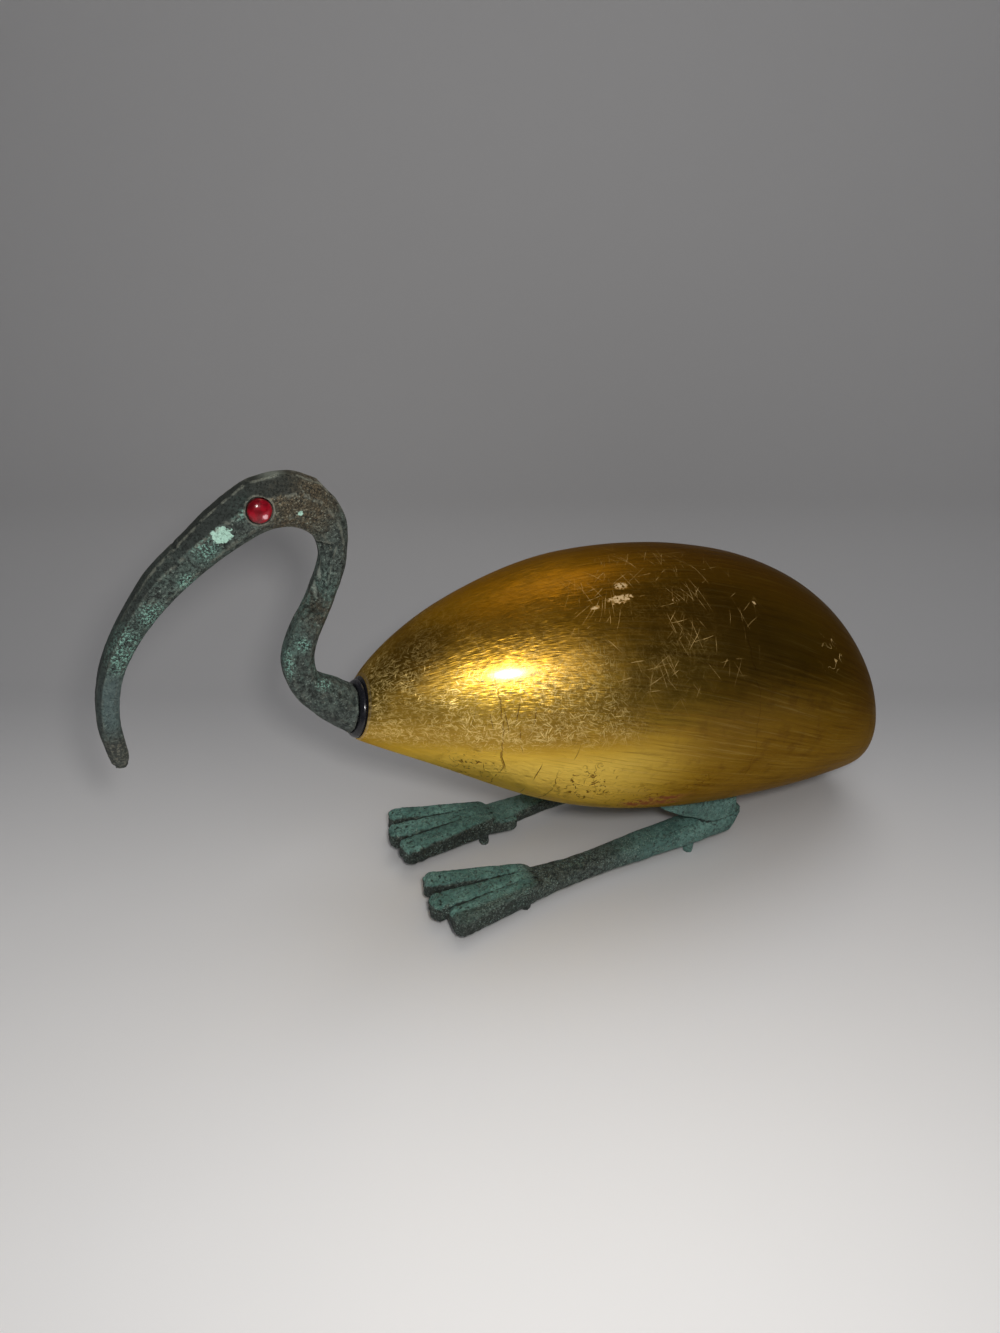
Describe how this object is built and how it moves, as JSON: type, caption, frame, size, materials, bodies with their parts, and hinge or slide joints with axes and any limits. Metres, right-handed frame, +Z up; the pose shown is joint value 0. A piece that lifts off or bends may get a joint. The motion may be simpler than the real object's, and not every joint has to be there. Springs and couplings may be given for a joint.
{
  "type": "resting ibis figure",
  "caption": "Resting ibis figure: plump gilded wooden body on folded bronze legs, with an S-curved bronze neck, head and long down-curved beak.",
  "frame": {"origin": "under the middle of the figure's bounding box, on the plane its pegs stand on", "axes": "+Z up, the beak points to -X and the tail to +X, the bird's right side is +Y"},
  "size_m": [0.2292, 0.076, 0.1369],
  "materials": {
    "gilded_wood": "gold leaf over carved wood, burnished and worn",
    "patinated_bronze": "dark bronze with a green patina",
    "red_glass": "polished dome",
    "black_lacquer": "gloss black",
    "bolt_steel": "zinc plated"
  },
  "bodies": {
    "root": {"body": "gilded_wood", "neck_collar": "black_lacquer", "head_and_neck": "patinated_bronze", "neck_bolt": "bolt_steel", "left_eye": "red_glass", "left_leg": "patinated_bronze", "left_leg_bolt": "bolt_steel", "right_eye": "red_glass", "right_leg": "patinated_bronze", "right_leg_bolt": "bolt_steel"}
  },
  "joints": []
}
